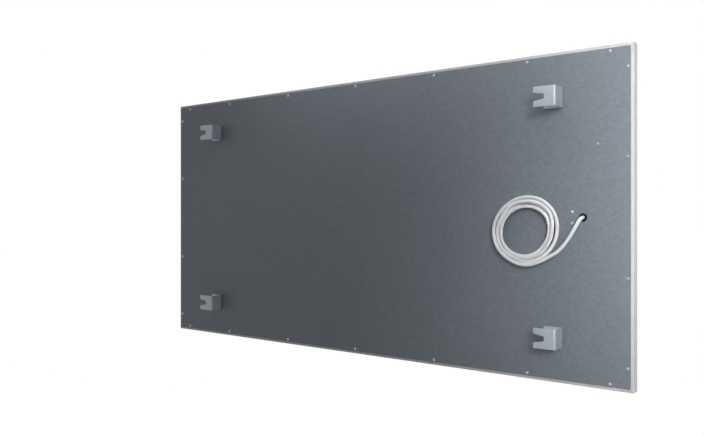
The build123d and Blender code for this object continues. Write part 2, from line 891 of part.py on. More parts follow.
coil_in_dir = coil_tangent(0)
coil_out_dir = coil_tangent(coil_turns)
coil_start = coil_point(0) - coil_in_dir * cable_diameter
coil_end = coil_point(coil_turns) + coil_out_dir * cable_diameter


def coil_path():
    """The coil's centre line: straight for one diameter, turns of biarcs, and straight again."""
    quarters = round(4 * coil_turns)
    turns = [coil_turns * i / quarters for i in range(quarters + 1)]
    edges = [Line(coil_start, coil_point(0))]
    for turn, after in zip(turns, turns[1:]):
        edges += biarc(coil_point(turn), coil_tangent(turn), coil_point(after), coil_tangent(after))
    edges.append(Line(coil_point(coil_turns), coil_end))
    return Wire(edges)


def least_gap(path, samples=1200, nearby=6 * cable_diameter):
    """The least distance between the surfaces of two stretches over `nearby` apart along the cable."""
    points = [path @ (i / samples) for i in range(samples + 1)]
    apart = int(samples * nearby / path.length)
    closest = min(
        (points[i] - points[j]).length
        for i in range(0, samples + 1, 2)
        for j in range(i + apart, samples + 1)
    )
    return closest - cable_diameter


def lead_points():
    """The free lead's route in the row's axes, ending face to face with the coil."""
    outlet_x = at_inset(outlet_inset)
    points = [Vector(outlet_x + along, cover_outside + stand, up) for along, up, stand in LEAD_ROUTE]
    return points + [coil_start - coil_in_dir * lead_last_run, coil_start]


def corner_radii(points):
    """For each corner of a route, a share of its shorter run over the tangent of half the turn."""
    radii = []
    for before, corner, after in zip(points, points[1:], points[2:]):
        run_in = corner - before
        run_out = after - corner
        half_turn = math.radians(run_in.get_angle(run_out)) / 2
        radii.append(corner_share * min(run_in.length, run_out.length) / math.tan(half_turn))
    return radii


def end_core_path(angle):
    """A stripped core's path past the coil's end, bent like the turn that it leaves."""
    bend = coil_point(coil_turns).sub(Vector(coil_centre_x, bottom_layer, coil_height)).length
    inward = Vector(-coil_out_dir.Z, 0, coil_out_dir.X)
    turn = math.radians(angle)
    start = coil_end + inward * (core_circle_radius * math.cos(turn))
    start += Vector(0, core_circle_radius * math.sin(turn), 0)
    bend -= core_circle_radius * math.cos(turn)
    centre = start + inward * bend

    def along(length):
        swing = length / bend
        return centre - inward * (bend * math.cos(swing)) + coil_out_dir * (bend * math.sin(swing))

    return ThreePointArc(start, along(strip_back_length / 2), along(strip_back_length))


def end_cores():
    """The three stripped cores at the cable's free end."""
    return [tube_along(end_core_path(angle), core_radius) for angle in CORE_ANGLES]


def end_ferrules():
    """The crimped ferrule on the end of each stripped core."""
    ferrules = []
    for angle in CORE_ANGLES:
        path = end_core_path(angle)
        tip = Plane(origin=path @ 1, z_dir=path % 1)
        ferrules.append(extrude(tip * Circle(ferrule_diameter / 2), amount=ferrule_length))
    return ferrules


# ---------------------------------------------------------------- output

def main():
    """Build every sub-part and write it."""
    os.makedirs("parts", exist_ok=True)

    save("front_panel", front_panel())
    save("rear_cover", rear_cover())
    save("cover_rivets", *edge_rivets())
    for name, web_x, middle_z in bracket_places():
        save(name, bracket(web_x, middle_z))
    save("bracket_rivets", *bracket_rivets())

    save("front_insulating_film", film(sheet_inside, strip_front))
    save("heating_strips", *heating_strips())
    save("busbar_upper", busbar(1))
    save("busbar_lower", busbar(-1))
    save("rear_insulating_film", with_tab_windows(film(strip_back, film_back), strip_back, film_back))
    save("reflector_foil", with_tab_windows(film(film_back, foil_back), film_back, foil_back))
    save("busbar_tabs", *connection_tabs())
    save("insulation_board", insulation_board())

    save("cable_grommet", cable_grommet())
    save("power_cable_inner", cable_inner())
    save("strain_relief_base", relief_half(cable_inside + relief_split / 2, cover_inside))
    save("strain_relief_clamp", relief_half(relief_clamp_front, cable_inside - relief_split / 2))
    save("strain_relief_rivets", *relief_rivets())
    save("live_core", core_to_pole(live_core_angle, live_pole))
    save("neutral_core", core_to_pole(neutral_core_angle, neutral_pole))
    save("earth_core", earth_core())
    save("earth_ring_terminal", earth_ring())
    save("earth_rivet", EARTH_RIVET.solid(at_inset(earth_inset), earth_height, cover_sheet + ring_sheet))

    save("junction_box", junction_box())
    save("junction_box_lid", junction_box_lid())
    save("terminal_block", terminal_block())
    save("terminal_barrels", *terminal_barrels())
    save("terminal_screws", *terminal_screws())
    save("thermal_cutout", thermal_cutout())
    save("live_lead", live_lead())
    save("cutout_lead", cutout_lead())
    save("neutral_lead", neutral_lead())

    points = lead_points()
    radii = corner_radii(points)
    lead = FilletPolyline(*points, radius=radii)
    lead_tube = tube_along(lead, cable_radius)
    coil = coil_path()
    coil_tube = tube_along(coil, cable_radius)
    section = math.pi * cable_radius ** 2
    print("lead radii", [round(radius, 1) for radius in radii])
    for name, path, solid in (("lead", lead, lead_tube), ("coil", coil, coil_tube)):
        ratio = solid.volume / (section * path.length)
        print(f"{name} length {path.length:.1f}, volume over section times length {ratio:.4f}")
    print(f"coil least gap to itself {least_gap(coil):.2f}")
    save("power_cable_lead", lead_tube)
    save("power_cable_coil", coil_tube)
    save("cable_end_cores", *end_cores())
    save("cable_end_ferrules", *end_ferrules())


if __name__ == "__main__":
    main()
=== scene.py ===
"""The looks of an infrared panel heater for a wall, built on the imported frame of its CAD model.

The frame's axes are the model's: X to the right as seen from the heated front, Y towards the wall
and Z up, with the origin in the middle of the four hook notches. All lengths are in metres.
"""

import logging
import math
from dataclasses import dataclass
from enum import Enum
from functools import reduce
from typing import Callable, Iterable

import bmesh
import bpy
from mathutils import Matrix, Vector


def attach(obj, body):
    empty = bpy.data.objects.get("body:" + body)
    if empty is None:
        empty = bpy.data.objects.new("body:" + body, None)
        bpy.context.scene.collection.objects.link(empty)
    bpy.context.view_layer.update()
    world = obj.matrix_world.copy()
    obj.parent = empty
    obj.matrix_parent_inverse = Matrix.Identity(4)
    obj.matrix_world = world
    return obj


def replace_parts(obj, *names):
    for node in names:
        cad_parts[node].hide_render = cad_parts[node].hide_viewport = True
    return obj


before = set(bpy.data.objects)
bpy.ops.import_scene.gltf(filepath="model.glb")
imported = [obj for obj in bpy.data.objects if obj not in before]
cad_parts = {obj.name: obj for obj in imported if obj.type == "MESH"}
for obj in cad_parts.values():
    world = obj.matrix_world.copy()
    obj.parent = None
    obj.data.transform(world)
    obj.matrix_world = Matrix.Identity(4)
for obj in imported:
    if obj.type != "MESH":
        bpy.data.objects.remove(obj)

LOG = logging.getLogger("infrared_panel_heater")
MM = 0.001
# Points nearer than this are one point
TOUCH = 1e-6
# The middle of the cable's outlet, on the cover's outside
OUTLET = (-512.0 * MM, -36.0 * MM, 0.0)

Colour = tuple[float, float, float]
Point = tuple[float, float, float]
Span = tuple[float, float]
Socket = bpy.types.NodeSocket
Piece = bpy.types.Object


class Cell(Enum):
    """What a cell pattern gives: a shade for each cell, or the distance to its border."""

    SHADE = "F1"
    BORDER = "DISTANCE_TO_EDGE"


class Bands(Enum):
    """The way along which a band pattern changes."""

    ALONG_X = "X"
    ALONG_Z = "Z"
    SLANTING = "DIAGONAL"


class Sum(Enum):
    """What a Math node does."""

    ADD = "ADD"
    MULTIPLY = "MULTIPLY"
    MAXIMUM = "MAXIMUM"
    ABSOLUTE = "ABSOLUTE"


class Part(Enum):
    """What is picked on a mesh in edit mode."""

    FACE = "FACE"
    EDGE = "EDGE"


class Change(Enum):
    """What a modifier does to a piece."""

    SOFTEN = "BEVEL"
    THICKEN = "SOLIDIFY"


# ---------------------------------------- materials


@dataclass(frozen=True)
class Noise:
    """A noise pattern: its features' size, its finer layers, their strength, and its scale on each axis."""

    size: float
    detail: float = 3.0
    rough: float = 0.5
    scale: Point = (1.0, 1.0, 1.0)


class NodeBoard:
    """A material whose nodes are added and joined by short calls."""

    def __init__(self, name: str) -> None:
        """Start a material with its shader and its Object coordinates.

        Args:
            name: The material's name.
        """
        self.material = bpy.data.materials.new(name)
        self.material.use_nodes = True
        self.tree = self.material.node_tree
        self.shader = self.tree.nodes["Principled BSDF"]
        self.place = self.tree.nodes.new("ShaderNodeTexCoord").outputs["Object"]

    def add(self, kind: str, inputs: dict, **settings: object) -> bpy.types.Node:
        """Add a node.

        Args:
            kind: The node's type.
            inputs: A number, colour or socket for each named or numbered input.
            **settings: Properties of the node itself.

        Returns:
            The new node.
        """
        node = self.tree.nodes.new(kind)
        for key, value in settings.items():
            setattr(node, key, value)
        for key, value in inputs.items():
            if isinstance(value, bpy.types.NodeSocket):
                self.tree.links.new(value, node.inputs[key])
            else:
                node.inputs[key].default_value = value
        return node

    def noise(self, noise: Noise) -> Socket:
        """Add a noise pattern.

        Args:
            noise: The pattern's measures.

        Returns:
            Its values, from 0 to 1.
        """
        scaled = self.add("ShaderNodeMapping", {"Vector": self.place, "Scale": noise.scale}).outputs[0]
        inputs = {"Vector": scaled, "Scale": 1 / noise.size, "Detail": noise.detail, "Roughness": noise.rough}
        return self.add("ShaderNodeTexNoise", inputs).outputs[0]

    def cells(self, size: float, cell: Cell) -> Socket:
        """Add a pattern of cells.

        Args:
            size: The size of a cell, in metres.
            cell: What the pattern gives.

        Returns:
            A grey shade for each cell, or the distance to its border.
        """
        inputs = {"Vector": self.place, "Scale": 1 / size}
        node = self.add("ShaderNodeTexVoronoi", inputs, feature=cell.value)
        if cell is Cell.BORDER:
            return node.outputs["Distance"]
        return self.add("ShaderNodeSeparateColor", {0: node.outputs["Color"]}).outputs[0]

    def bands(self, scale: float, way: Bands, distortion: float = 0.0) -> Socket:
        """Add a pattern of soft bands, finer with a higher scale."""
        inputs = {"Vector": self.place, "Scale": scale, "Distortion": distortion}
        return self.add("ShaderNodeTexWave", inputs, bands_direction=way.value).outputs[1]

    def span(self, value: Socket, low: float, high: float, start: float = 0.0, end: float = 1.0) -> Socket:
        """Map a value between start and end onto low to high, held at both."""
        inputs = {"Value": value, "From Min": start, "From Max": end, "To Min": low, "To Max": high}
        return self.add("ShaderNodeMapRange", inputs).outputs[0]

    def maths(self, operation: Sum, first: Socket | float, second: Socket | float = 0.0) -> Socket:
        """Add a Math node of two values."""
        return self.add("ShaderNodeMath", {0: first, 1: second}, operation=operation.value).outputs[0]

    def weighted(self, patterns: Iterable[Socket], weights: Iterable[float]) -> Socket:
        """Add up patterns, each with its weight."""
        shares = [self.maths(Sum.MULTIPLY, pattern, weight) for pattern, weight in zip(patterns, weights)]
        return reduce(lambda total, share: self.maths(Sum.ADD, total, share), shares)

    def blend(self, factor: Socket, *colours: Colour | Socket) -> Socket:
        """Mix two colours, the first at a factor of 0 and the second at 1."""
        first, second = (c if isinstance(c, bpy.types.NodeSocket) else (*c, 1.0) for c in colours)
        return self.add("ShaderNodeMix", {0: factor, 6: first, 7: second}, data_type="RGBA").outputs[2]

    def tinted(self, factor: Socket, colour: Colour, tones: Span) -> Socket:
        """A colour that a pattern makes darker and lighter, between two tones."""
        return self.blend(factor, shade(colour, tones[0]), shade(colour, tones[1]))

    def relief(self, height: Socket, depth: float, base: Socket | None = None) -> Socket:
        """Bump the normal by a pattern of heights, whose full step is depth metres."""
        inputs = {"Height": height, "Distance": depth, "Strength": 1.0} | ({"Normal": base} if base else {})
        return self.add("ShaderNodeBump", inputs).outputs[0]

    def finish(self, **inputs: object) -> None:
        """Set the shader's inputs.

        Args:
            **inputs: The shader's inputs, with underscores for spaces. Constants are set on the
                shader's own sockets and patterns are linked to them.
        """
        for key, value in inputs.items():
            socket = self.shader.inputs[key.replace("_", " ")]
            if isinstance(value, bpy.types.NodeSocket):
                self.tree.links.new(value, socket)
            else:
                socket.default_value = (*value, 1.0) if isinstance(value, tuple) else value


def shade(colour: Colour, factor: float) -> Colour:
    """A colour made lighter or darker by a factor."""
    return tuple(min(channel * factor, 1.0) for channel in colour)


@dataclass(frozen=True)
class Finish:
    """A finish of the heater: its name, its colour, and how its patterns are painted."""

    name: str
    colour: Colour

    def paint(self, board: NodeBoard) -> None:
        """Add the finish's patterns to an empty board."""
        raise NotImplementedError

    def make(self) -> bpy.types.Material:
        """Make the material.

        Returns:
            The finished material.
        """
        board = NodeBoard(self.name)
        self.paint(board)
        return board.material


@dataclass(frozen=True)
class PowderCoat(Finish):
    """White powder coat: a fine orange peel and slow changes of gloss."""

    peel: Noise = Noise(0.0016, 1.0)
    peel_depth: float = 0.000016
    clouds: Noise = Noise(0.09)
    tones: Span = (0.985, 1.01)
    roughness: Span = (0.38, 0.48)
    specular: float = 0.3

    def paint(self, board: NodeBoard) -> None:
        """Paint the peel and the clouds.

        Args:
            board: The new material's board.
        """
        cloud = board.noise(self.clouds)
        board.finish(
            Base_Color=board.tinted(cloud, self.colour, self.tones),
            Roughness=board.span(cloud, *self.roughness),
            Specular_IOR_Level=self.specular,
            Normal=board.relief(board.noise(self.peel), self.peel_depth),
        )


@dataclass(frozen=True)
class ZincCoat(Finish):
    """Hot-dip galvanised sheet: spangle, a slow change of tone, and darker cut edges, partly bare steel and
    partly painted shade of the gap between cover and flange.
    """

    contrast: float
    spangle_size: float = 0.005
    grain: Noise = Noise(0.0016, 2.0, 0.6)
    patina: Noise = Noise(0.3, 4.0, 0.55)
    clouds: Noise = Noise(0.012, 2.0)
    tone_weights: tuple[float, ...] = (0.35, 0.4, 0.55)
    tone_range: Span = (0.15, 0.95)
    cut_edge_and_shade_tone: float = 0.45
    cut_edge_and_shade_slopes: Span = (0.05, 0.3)
    roughness: float = 0.41
    roughness_weights: Span = (0.1, 0.06)
    metallic: float = 0.1
    specular: float = 0.2
    relief_depth: float = 0.00001

    def paint(self, board: NodeBoard) -> None:
        """Paint the spangle, the patina and the cut edges, which face sideways and are painted darker: partly
        bare steel, partly painted shade of the gap between cover and flange.

        Args:
            board: The new material's board.
        """
        spangle = board.cells(self.spangle_size, Cell.SHADE)
        grain, patina, cloud = (board.noise(noise) for noise in (self.grain, self.patina, self.clouds))
        tone = board.weighted((spangle, grain, patina), self.tone_weights)
        tone = board.span(tone, 0.0, 1.0, *self.tone_range)
        zinc = board.tinted(tone, self.colour, (1 - self.contrast, 1 + self.contrast))
        # Faces that face sideways, the cut edges, are painted darker: partly bare steel, partly painted shade
        # of the gap between cover and flange.
        facing = board.add("ShaderNodeNewGeometry", {}).outputs["True Normal"]
        facing = board.add("ShaderNodeSeparateXYZ", {0: facing}).outputs["Y"]
        edge = board.span(board.maths(Sum.ABSOLUTE, facing), 1.0, 0.0, *self.cut_edge_and_shade_slopes)
        roughness = board.weighted((spangle, cloud), self.roughness_weights)
        board.finish(
            Base_Color=board.blend(edge, zinc, shade(self.colour, self.cut_edge_and_shade_tone)),
            Metallic=self.metallic,
            Specular_IOR_Level=self.specular,
            Roughness=board.maths(Sum.ADD, roughness, self.roughness),
            Normal=board.relief(board.maths(Sum.ADD, grain, spangle), self.relief_depth),
        )


@dataclass(frozen=True)
class BentZinc(Finish):
    """Zinc-plated bent sheet: rolled grain along Z, and a light burnish."""

    grain: Noise = Noise(0.0012, scale=(1.0, 1.0, 0.12))
    grain_depth: float = 0.000012
    clouds: Noise = Noise(0.011)
    tone_weights: Span = (0.5, 0.5)
    tones: Span = (0.86, 1.14)
    roughness: Span = (0.30, 0.48)
    metallic: float = 0.2

    def paint(self, board: NodeBoard) -> None:
        """Paint the grain and the burnish.

        Args:
            board: The new material's board.
        """
        grain = board.noise(self.grain)
        tone = board.weighted((grain, board.noise(self.clouds)), self.tone_weights)
        board.finish(
            Base_Color=board.tinted(tone, self.colour, self.tones),
            Metallic=self.metallic,
            Roughness=board.span(tone, *self.roughness),
            Normal=board.relief(grain, self.grain_depth),
        )


@dataclass(frozen=True)
class PlainMetal(Finish):
    """Turned, rolled or drawn metal: fine scratches and a little tarnish."""

    roughness: Span = (0.26, 0.44)
    tarnish: float = 0.18
    clouds: Noise = Noise(0.006)
    scratches: Noise = Noise(0.0006, scale=(1.0, 0.25, 1.0))
    scratch_depth: float = 0.000006
    wrinkle_depth: float = 0.0
    wrinkle_size: float = 0.018
    wrinkle_width: float = 0.3

    def paint(self, board: NodeBoard) -> None:
        """Paint the scratches and the tarnish, and the wrinkles of a foil.

        Args:
            board: The new material's board.
        """
        scratch = board.noise(self.scratches)
        normal = board.relief(scratch, self.scratch_depth)
        if self.wrinkle_depth:
            border = board.cells(self.wrinkle_size, Cell.BORDER)
            fold = board.span(border, 0.0, 1.0, 0.0, self.wrinkle_width)
            normal = board.relief(fold, self.wrinkle_depth, normal)
        tones = (1 - self.tarnish, 1 + self.tarnish / 3)
        board.finish(
            Base_Color=board.tinted(board.noise(self.clouds), self.colour, tones),
            Metallic=1.0,
            Roughness=board.span(scratch, *self.roughness),
            Normal=normal,
        )


@dataclass(frozen=True)
class Moulded(Finish):
    """Moulded plastic or rubber: a spark-eroded surface with a slow change of tone."""

    roughness: Span = (0.44, 0.58)
    grain: Noise = Noise(0.0007, 2.0)
    grain_depth: float = 0.00001
    clouds: Noise = Noise(0.02)
    tones: Span = (0.94, 1.05)
    specular: float = 0.5

    def paint(self, board: NodeBoard) -> None:
        """Paint the grain and the clouds.

        Args:
            board: The new material's board.
        """
        grain = board.noise(self.grain)
        board.finish(
            Base_Color=board.tinted(board.noise(self.clouds), self.colour, self.tones),
            Roughness=board.span(grain, *self.roughness),
            Specular_IOR_Level=self.specular,
            Normal=board.relief(grain, self.grain_depth),
        )


@dataclass(frozen=True)
class Sheath(Finish):
    """The extruded jacket of a cable or core: a soft sheen, faint draw marks, and stripes on some."""

    stripe: Colour | None = None
    stripe_scale: float = 90.0
    stripe_edge: Span = (0.55, 0.6)
    clouds: Noise = Noise(0.03, 2.0)
    tones: Span = (0.97, 1.02)
    draw_marks: Noise = Noise(0.0009, 2.0)
    draw_depth: float = 0.000012
    roughness: Span = (0.3, 0.42)
    specular: float = 0.75

    def paint(self, board: NodeBoard) -> None:
        """Paint the clouds, the stripes and the draw marks.

        Args:
            board: The new material's board.
        """
        colour = board.tinted(board.noise(self.clouds), self.colour, self.tones)
        draw = board.noise(self.draw_marks)
        if self.stripe:
            bands = board.bands(self.stripe_scale, Bands.SLANTING)
            colour = board.blend(board.span(bands, 0.0, 1.0, *self.stripe_edge), colour, self.stripe)
        board.finish(
            Base_Color=colour,
            Roughness=board.span(draw, *self.roughness),
            Specular_IOR_Level=self.specular,
            Normal=board.relief(draw, self.draw_depth),
        )


@dataclass(frozen=True)
class GlassWeave(Finish):
    """A glass-fibre film: fine crossing threads in a clear binder."""

    thread: float = 0.0012
    thread_scale: float = 0.16
    thread_waver: float = 0.6
    thread_depth: float = 0.00004
    clouds: Noise = Noise(0.05)
    tones: Span = (0.75, 1.15)
    roughness: Span = (0.45, 0.6)

    def paint(self, board: NodeBoard) -> None:
        """Paint the threads and the clouds of the binder.

        Args:
            board: The new material's board.
        """
        ways, scale = (Bands.ALONG_X, Bands.ALONG_Z), self.thread_scale / self.thread
        threads = [board.bands(scale, way, self.thread_waver) for way in ways]
        weave = board.maths(Sum.MAXIMUM, *threads)
        cloud = board.noise(self.clouds)
        tone = board.maths(Sum.MULTIPLY, weave, cloud)
        board.finish(
            Base_Color=board.tinted(tone, self.colour, self.tones),
            Roughness=board.span(cloud, *self.roughness),
            Normal=board.relief(weave, self.thread_depth),
        )


@dataclass(frozen=True)
class CarbonPaper(Finish):
    """A carbon-fibre heating strip: short dark fibres with bright ends."""

    fibres: Noise = Noise(0.0005, 4.0, 0.7, (1.0, 1.0, 0.2))
    fibre_ends: Span = (0.45, 0.75)
    fibre_shine: float = 4.0
    fibre_depth: float = 0.00002
    roughness: Span = (0.5, 0.7)

    def paint(self, board: NodeBoard) -> None:
        """Paint the fibres.

        Args:
            board: The new material's board.
        """
        fibres = board.noise(self.fibres)
        ends = board.span(fibres, 0.0, 1.0, *self.fibre_ends)
        board.finish(
            Base_Color=board.tinted(ends, self.colour, (1.0, self.fibre_shine)),
            Roughness=board.span(fibres, *self.roughness),
            Normal=board.relief(fibres, self.fibre_depth),
        )


@dataclass(frozen=True)
class MineralWool(Finish):
    """A pressed board of mineral wool: matted fibres that lie along the board."""

    along: Noise = Noise(0.002, 5.0, 0.7, (0.25, 2.0, 1.0))
    across: Noise = Noise(0.002, 5.0, 0.7, (1.0, 2.0, 0.25))
    fibre_depth: float = 0.0006
    clumps: Noise = Noise(0.04)
    clump_weights: Span = (0.4, 0.62)
    tones: Span = (0.6, 1.35)
    roughness: Span = (0.9, 1.0)
    sheen: float = 0.3

    def paint(self, board: NodeBoard) -> None:
        """Paint the fibres along and across, in clumps.

        Args:
            board: The new material's board.
        """
        fibres = board.maths(Sum.ADD, board.noise(self.along), board.noise(self.across))
        clump = board.span(board.noise(self.clumps), *self.clump_weights)
        tone = board.maths(Sum.MULTIPLY, fibres, clump)
        board.finish(
            Base_Color=board.tinted(tone, self.colour, self.tones),
            Roughness=board.span(tone, *self.roughness),
            Sheen_Weight=self.sheen,
            Normal=board.relief(tone, self.fibre_depth),
        )


WHITE_ENAMEL = PowderCoat("white_enamel", (0.610, 0.612, 0.625))
COVER_ZINC = ZincCoat("galvanised_cover", (0.197, 0.222, 0.253), contrast=0.16)
BRACKET_ZINC = BentZinc("galvanised_brackets", (0.46, 0.505, 0.557))
RIVET_ALLOY = PlainMetal("rivet_aluminium", (0.35, 0.37, 0.39), (0.36, 0.54))
SMALL_RIVET = PlainMetal("rivet_aluminium_bright", (0.50, 0.52, 0.54), (0.44, 0.62))
SCREW_ZINC = PlainMetal("zinc_screw", (0.60, 0.60, 0.58))
TERMINAL_BRASS = PlainMetal("terminal_brass", (0.72, 0.56, 0.28))
TINNED_COPPER = PlainMetal("tinned_copper", (0.66, 0.64, 0.60), (0.22, 0.40))
BUSBAR_COPPER = PlainMetal("busbar_copper", (0.78, 0.42, 0.28), (0.20, 0.38))
REFLECTOR_FOIL = PlainMetal(
    "reflector_foil", (0.86, 0.87, 0.88), (0.10, 0.28), tarnish=0.05, wrinkle_depth=0.0002,
)
BLACK_RUBBER = Moulded("black_rubber", (0.006, 0.006, 0.007), (0.64, 0.78), specular=0.12)
GREY_POLYAMIDE = Moulded("grey_polyamide", (0.42, 0.43, 0.44))
NATURAL_POLYAMIDE = Moulded("natural_polyamide", (0.80, 0.77, 0.66), (0.32, 0.46))
BLACK_PHENOLIC = Moulded("black_phenolic", (0.028, 0.026, 0.025), (0.26, 0.40))
WHITE_SILICONE = Moulded("white_silicone", (0.74, 0.73, 0.70), (0.49, 0.63))
WHITE_SHEATH = Sheath("white_cable_jacket", (0.88, 0.88, 0.91))
BROWN_CORE = Sheath("brown_core", (0.13, 0.055, 0.025))
BLUE_CORE = Sheath("blue_core", (0.03, 0.11, 0.46))
EARTH_CORE = Sheath("green_yellow_core", (0.10, 0.36, 0.07), stripe=(0.78, 0.62, 0.05))
GLASS_FILM = GlassWeave("glass_fibre_film", (0.66, 0.61, 0.44))
CARBON_STRIP = CarbonPaper("carbon_strip", (0.025, 0.025, 0.027))
WOOL_BOARD = MineralWool("mineral_wool", (0.47, 0.41, 0.25))


class Finishes:
    """The finishes as made materials, each made once."""

    made: dict[str, bpy.types.Material] = {}

    @classmethod
    def get(cls, finish: Finish) -> bpy.types.Material:
        """Give a finish's material, and make it the first time.

        Args:
            finish: One of the finishes above.

        Returns:
            Its material.
        """
        if finish.name not in cls.made:
            cls.made[finish.name] = finish.make()
        return cls.made[finish.name]


Dressing = tuple[tuple[Finish, tuple[str, ...]], ...]


@dataclass
class KeptNodes:
    """CAD nodes that keep their meshes and are dressed in their finishes."""

    dressing: Dressing

    def build(self) -> None:
        """Give each node its finish on its whole surface."""
        for finish, nodes in self.dressing:
            for node in nodes:
                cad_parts[node].material_slots[0].material = Finishes.get(finish)
                LOG.info("dressed %s in %s", node, finish.name)


# ---------------------------------------- modelling


def same(first: float, second: float) -> bool:
    """Whether two coordinates are the same."""
    return abs(first - second) < TOUCH


def start_piece(name: str, add: Callable[..., object], **settings: object) -> Piece:
    """Add a primitive as the start of a piece, and open it in edit mode.

    Args:
        name: The piece's name.
        add: The operator that adds the primitive.
        **settings: The operator's settings.

    Returns:
        The new object, in edit mode with its whole mesh selected.
    """
    bpy.ops.object.select_all(action="DESELECT")
    add(**settings)
    piece = bpy.context.object
    piece.name = piece.data.name = name
    bpy.ops.object.mode_set(mode="EDIT")
    return piece


def pick(piece: Piece, test: Callable[[object], bool], part: Part) -> None:
    """Select the faces or edges of a piece in edit mode that pass a test.

    Args:
        piece: The object in edit mode.
        test: Says whether a BMesh face or edge is picked.
        part: Whether faces or edges are picked.
    """
    bpy.ops.mesh.select_mode(type=part.value)
    bpy.ops.mesh.select_all(action="DESELECT")
    mesh = bmesh.from_edit_mesh(piece.data)
    for element in mesh.faces if part is Part.FACE else mesh.edges:
        element.select_set(bool(test(element)))
    mesh.select_flush_mode()
    bmesh.update_edit_mesh(piece.data)


def merge_touching() -> None:
    """Merge the points of the open mesh that touch."""
    bpy.ops.mesh.select_all(action="SELECT")
    bpy.ops.mesh.remove_doubles(threshold=TOUCH)


def apply_change(piece: Piece, change: Change, **settings: object) -> None:
    """Add a modifier to a piece and apply it.

    Args:
        piece: The piece, in object mode.
        change: What the modifier does.
        **settings: The modifier's settings.
    """
    modifier = piece.modifiers.new(change.value.lower(), change.value)
    for key, value in settings.items():
        setattr(modifier, key, value)
    bpy.context.view_layer.objects.active = piece
    bpy.ops.object.modifier_apply(modifier=modifier.name)


def settle(piece: Piece, finish: Finish, crease: float = 30.0) -> Piece:
    """Close a piece's making: its place goes into its mesh, its normals outwards, and it rides on the body.

    Args:
        piece: The modelled object.
        finish: Its finish.
        crease: The angle in degrees from which an edge stays sharp.

    Returns:
        The finished piece.
    """
    if bpy.context.mode != "OBJECT":
        bpy.ops.object.mode_set(mode="OBJECT")
    bpy.ops.object.select_all(action="DESELECT")
    piece.select_set(True)
    bpy.context.view_layer.objects.active = piece
    bpy.ops.object.transform_apply(location=True, rotation=True, scale=True)
    bpy.ops.object.mode_set(mode="EDIT")
    merge_touching()
    bpy.ops.mesh.normals_make_consistent(inside=False)
    bpy.ops.object.mode_set(mode="OBJECT")
    bpy.ops.object.shade_smooth_by_angle(angle=math.radians(crease))
    piece.data.materials.clear()
    piece.data.materials.append(Finishes.get(finish))
    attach(piece, "root")
    LOG.info("made %s: %d faces", piece.name, len(piece.data.polygons))
    return piece


# ---------------------------------------- casing


@dataclass
class Casing(KeptNodes):
    """The white tray, its galvanised cover and the rivets in it."""

    dressing: Dressing = (
        (WHITE_ENAMEL, ("front_panel",)),
        (COVER_ZINC, ("rear_cover",)),
        (RIVET_ALLOY, ("cover_rivets", "bracket_rivets")),
        (SMALL_RIVET, ("strain_relief_rivets", "earth_rivet")),
    )


